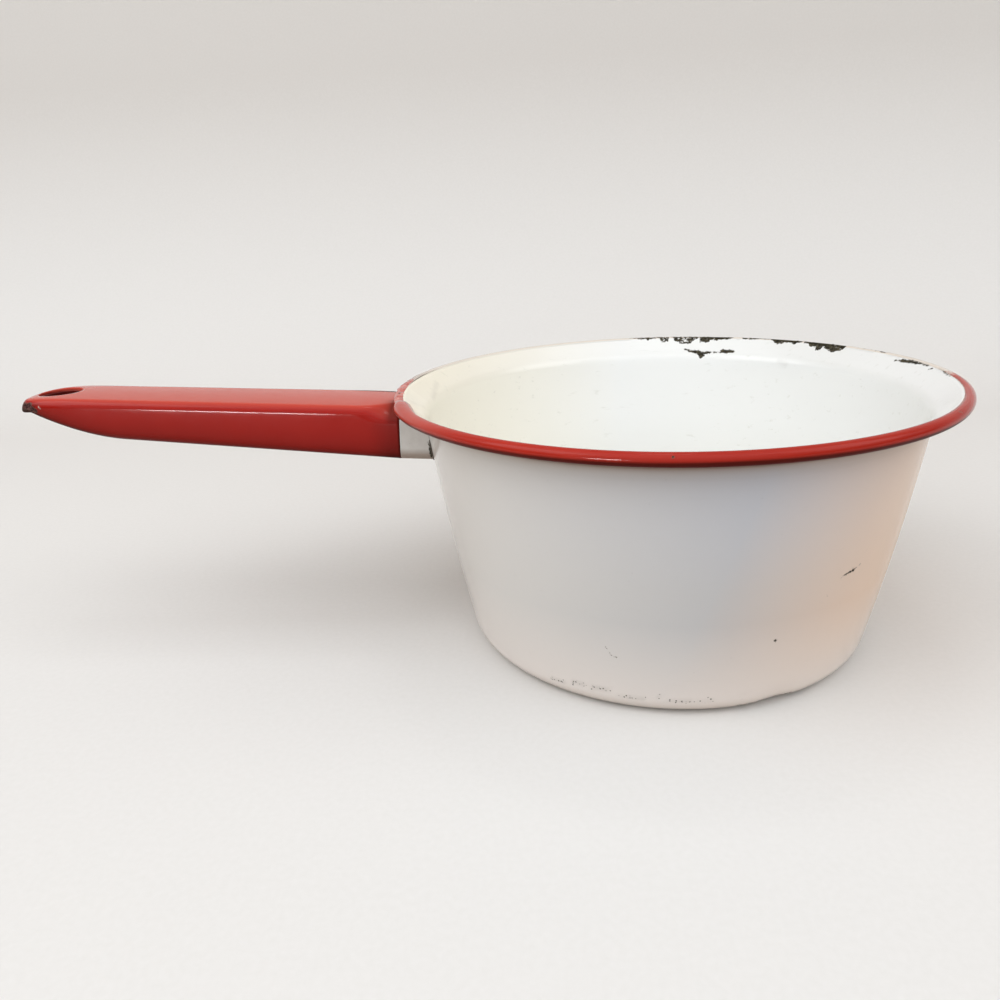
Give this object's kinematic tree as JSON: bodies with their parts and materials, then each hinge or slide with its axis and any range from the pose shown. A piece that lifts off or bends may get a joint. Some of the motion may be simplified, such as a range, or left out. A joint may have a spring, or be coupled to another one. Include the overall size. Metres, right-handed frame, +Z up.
{
  "type": "saucepan",
  "caption": "Enamelled steel saucepan with tapered round bowl, flared lip, rolled rim and a hollow pressed handle with a hanging hole.",
  "frame": {"origin": "centre of the underside of the base, on the surface that the pan stands on", "axes": "+Z up out of the bowl; the handle points along -X; the part is mirrored across the plane y = 0"},
  "size_m": [0.3486, 0.2, 0.0979],
  "materials": {
    "white_enamel": "glossy vitreous enamel, chipped along the rim and the foot",
    "red_enamel_rim": "glossy vitreous enamel, worn thin on top of the rim",
    "red_enamel": "glossy vitreous enamel",
    "dark_weld": "oxidised weld and dark ground enamel"
  },
  "bodies": {
    "root": {"bowl": "white_enamel", "rim_bead": "red_enamel_rim", "handle_shell": "red_enamel", "handle_root": "white_enamel", "root_weld": "dark_weld"}
  },
  "joints": []
}
